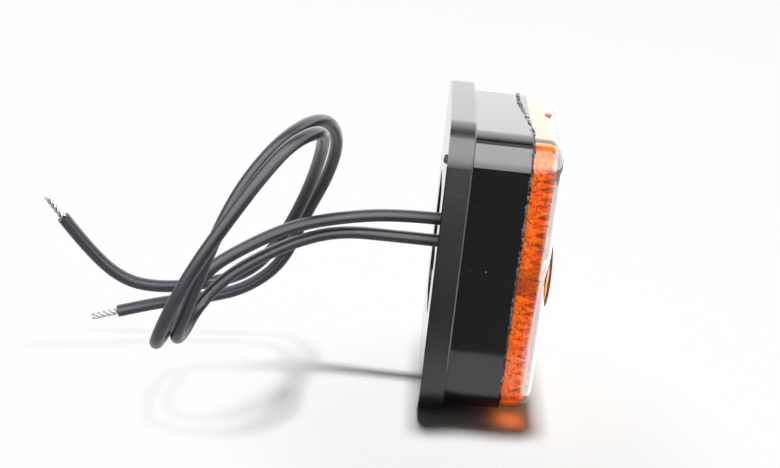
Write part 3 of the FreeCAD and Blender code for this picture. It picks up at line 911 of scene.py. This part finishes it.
class LAMP_OT_stage(bpy.types.Operator):
    """Camera, pale table and studio lights"""

    bl_idname = "lamp.stage"
    bl_label = "Stage"

    def execute(self, context):
        _, _, stage = settings()
        context.scene.view_settings.view_transform = "Standard"
        self.camera(stage)
        self.floor(stage)
        self.world()
        self.lights()
        self.cards()
        return {"FINISHED"}

    def lights(self):
        """Key light overhead, and the amber glow that the lens throws on the table before it."""
        key = Vector((0.0, 0.048, 0.7))
        self.light("top_softbox", key, (-key).to_track_quat("-Z", "Y"), (0.07, 0.07), 5.2)
        glow = Vector((SEAM + 3.4 * MM, PAD_LOW.y + 4.0 * MM, PAD_LOW.z + 1.8 * MM))
        amber = (1.0, 0.15, 0.01)
        self.light("amber_spill", glow, Quaternion(), (5.0 * MM, 6.0 * MM), 0.00008, amber)

    def cards(self):
        """Cards on the table and round it for the gloss, and two that only the lens lets in."""
        table = PAD_LOW.z + 0.5 * MM
        front_lean, back_lean = (math.radians(80.2), 0.0, 0.0), (math.radians(-45.0), 0.0, 0.0)
        self.card("dark_card", (0.035, -0.157, table), LEVEL, (0.12, 0.208), 0.16)
        self.card("rim_card", (0.105, 0.19, table), LEVEL, (0.15, 0.52), 3.2)
        self.card("side_card", (0.5, 0.1, 0.31), ALONG_X, (0.66, 1.0), 3.0)
        front_fade, back_fade = ("Z", -0.03, 0.1, 0.6), ("Y", 0.07, 0.4, 0.05)
        self.card("front_card", (0.0, -0.2125, 0.3035), front_lean, (1.2, 0.677), 5.7, front_fade)
        self.card("back_card", (0.0, 0.5, 0.5), back_lean, (1.4, 1.4), 2.7, back_fade)
        for name, place, turn, size, strength in (
            ("lens_card", (0.0, -0.5, 0.3), front_lean, (1.6, 0.65), 3.3),
            ("face_card", (0.5, 0.0, 0.2), ALONG_X, (0.6, 1.0), 5.5),
        ):
            self.card(name, place, turn, size, strength, shown="visible_transmission")

    def camera(self, stage):
        """Camera at the photograph's angle."""
        data = bpy.data.cameras.new("lamp_camera")
        data.lens = stage.camera_lens
        data.sensor_width = 36.0
        data.clip_start = 0.01
        camera = bpy.data.objects.new("lamp_camera", data)
        bpy.context.scene.collection.objects.link(camera)
        place = Vector(stage.camera_place)
        look = (Vector(stage.camera_aim) - place).to_track_quat("-Z", "Y").to_matrix()
        turn = look @ Matrix.Rotation(stage.camera_roll, 3, "Z")
        camera.matrix_world = Matrix.Translation(place) @ turn.to_4x4()
        bpy.context.scene.camera = camera

    def floor(self, stage):
        """Wide matt table, which fades to the white of the world away from the lamp."""
        start_fresh()
        bpy.ops.mesh.primitive_circle_add(
            vertices=96, radius=3.0, fill_type="NGON", location=(0.0, 0.0, PAD_LOW.z)
        )
        floor = settle(bpy.context.object, "floor")
        material, tree, shader = new_material(
            "table_white", stage.floor_colour, 0.6, Specular_IOR_Level=0.0
        )
        place = tree.nodes.new("ShaderNodeTexCoord")
        reach = tree.nodes.new("ShaderNodeVectorMath")
        reach.operation = "DISTANCE"
        reach.inputs[1].default_value = (0.012, -0.028, PAD_LOW.z)
        tree.links.new(place.outputs["Object"], reach.inputs[0])
        far = ranged(tree, reach.outputs["Value"], 0.022, 0.06, 0.0, 0.93)
        white = tree.nodes.new("ShaderNodeEmission")
        mix = tree.nodes.new("ShaderNodeMixShader")
        tree.links.new(combined(tree, "MULTIPLY", far, seen_directly(tree)), mix.inputs["Fac"])
        tree.links.new(shader.outputs["BSDF"], mix.inputs[1])
        tree.links.new(white.outputs["Emission"], mix.inputs[2])
        tree.links.new(mix.outputs["Shader"], tree.nodes["Material Output"].inputs["Surface"])
        floor.data.materials.append(material)

    def card(self, name, place, turn, size, strength, fade=None, shown="visible_glossy"):
        """Card seen only in the gloss, or only through the lens, which may brighten along one axis."""
        start_fresh()
        bpy.ops.mesh.primitive_plane_add(size=1.0, location=place, rotation=turn)
        card = bpy.context.object
        card.scale = (*size, 1.0)
        settle(card, name)
        material, tree, shader = new_material(
            name, (0.0, 0.0, 0.0), 1.0, Specular_IOR_Level=0.0, Emission_Strength=strength
        )
        levels = []
        if fade:
            axis, dim_end, bright_end, least = fade
            spot = tree.nodes.new("ShaderNodeTexCoord")
            split = tree.nodes.new("ShaderNodeSeparateXYZ")
            tree.links.new(spot.outputs["Object"], split.inputs["Vector"])
            levels.append(ranged(tree, split.outputs[axis], dim_end, bright_end, least, 1.0))
        if shown == "visible_glossy":
            # Off after a diffuse bounce, so that the card doesn't light the table
            path = tree.nodes.new("ShaderNodeLightPath")
            levels.append(ranged(tree, path.outputs["Diffuse Depth"], 0.0, 1.0, 1.0, 0.0))
        if levels:
            tree.links.new(combined(tree, "MULTIPLY", *levels), shader.inputs["Emission Color"])
        card.data.materials.append(material)
        for ray in ("camera", "diffuse", "glossy", "transmission", "shadow"):
            setattr(card, f"visible_{ray}", f"visible_{ray}" == shown)

    def world(self):
        """White for the camera and for what the gloss and the lens show, softer as a light."""
        world = bpy.data.worlds.new("studio")
        world.use_nodes = True
        tree = world.node_tree
        tree.nodes["Background"].inputs["Strength"].default_value = 0.045
        white = tree.nodes.new("ShaderNodeBackground")
        mix = tree.nodes.new("ShaderNodeMixShader")
        tree.nodes["Background"].inputs["Color"].default_value = (1.0, 1.0, 1.0, 1.0)
        white.inputs["Color"].default_value = (1.0, 1.0, 1.0, 1.0)
        tree.links.new(seen_directly(tree), mix.inputs["Fac"])
        tree.links.new(tree.nodes["Background"].outputs[0], mix.inputs[1])
        tree.links.new(white.outputs[0], mix.inputs[2])
        tree.links.new(mix.outputs[0], tree.nodes["World Output"].inputs["Surface"])
        bpy.context.scene.world = world

    def light(self, name, place, turn, size, power, colour=(1.0, 1.0, 1.0)):
        """Rectangular light that stays out of sight and out of the gloss."""
        data = bpy.data.lights.new(name, "AREA")
        data.shape = "RECTANGLE"
        data.size, data.size_y = size
        data.energy = power
        data.color = colour
        light = bpy.data.objects.new(name, data)
        bpy.context.scene.collection.objects.link(light)
        light.matrix_world = Matrix.Translation(place) @ turn.to_matrix().to_4x4()
        light.visible_camera = False
        light.visible_glossy = False


class LAMP_PT_panel(bpy.types.Panel):
    """Sidebar panel that lists the lamp's steps"""

    bl_idname = "LAMP_PT_panel"
    bl_label = "Marker Lamp"
    bl_space_type = "VIEW_3D"
    bl_region_type = "UI"
    bl_category = "Marker Lamp"

    def draw(self, context):
        for step in STEPS:
            self.layout.operator(step.bl_idname)


STEPS = (
    LAMP_OT_stage, LAMP_OT_black_parts, LAMP_OT_lens, LAMP_OT_weld, LAMP_OT_gate, LAMP_OT_board,
    LAMP_OT_leads,
)
GROUPS = {"lamp_sizes": LampSizes, "lamp_colours": LampColours, "lamp_stage": LampStage}


def register():
    for item in (*GROUPS.values(), *STEPS, LAMP_PT_panel):
        bpy.utils.register_class(item)
    for name, group in GROUPS.items():
        setattr(bpy.types.Scene, name, PointerProperty(type=group))


def unregister():
    for name in GROUPS:
        delattr(bpy.types.Scene, name)
    for item in (LAMP_PT_panel, *reversed(STEPS), *reversed(GROUPS.values())):
        bpy.utils.unregister_class(item)


def main():
    register()
    for step in STEPS:
        family, name = step.bl_idname.split(".")
        getattr(getattr(bpy.ops, family), name)()


if __name__ == "__main__":
    main()
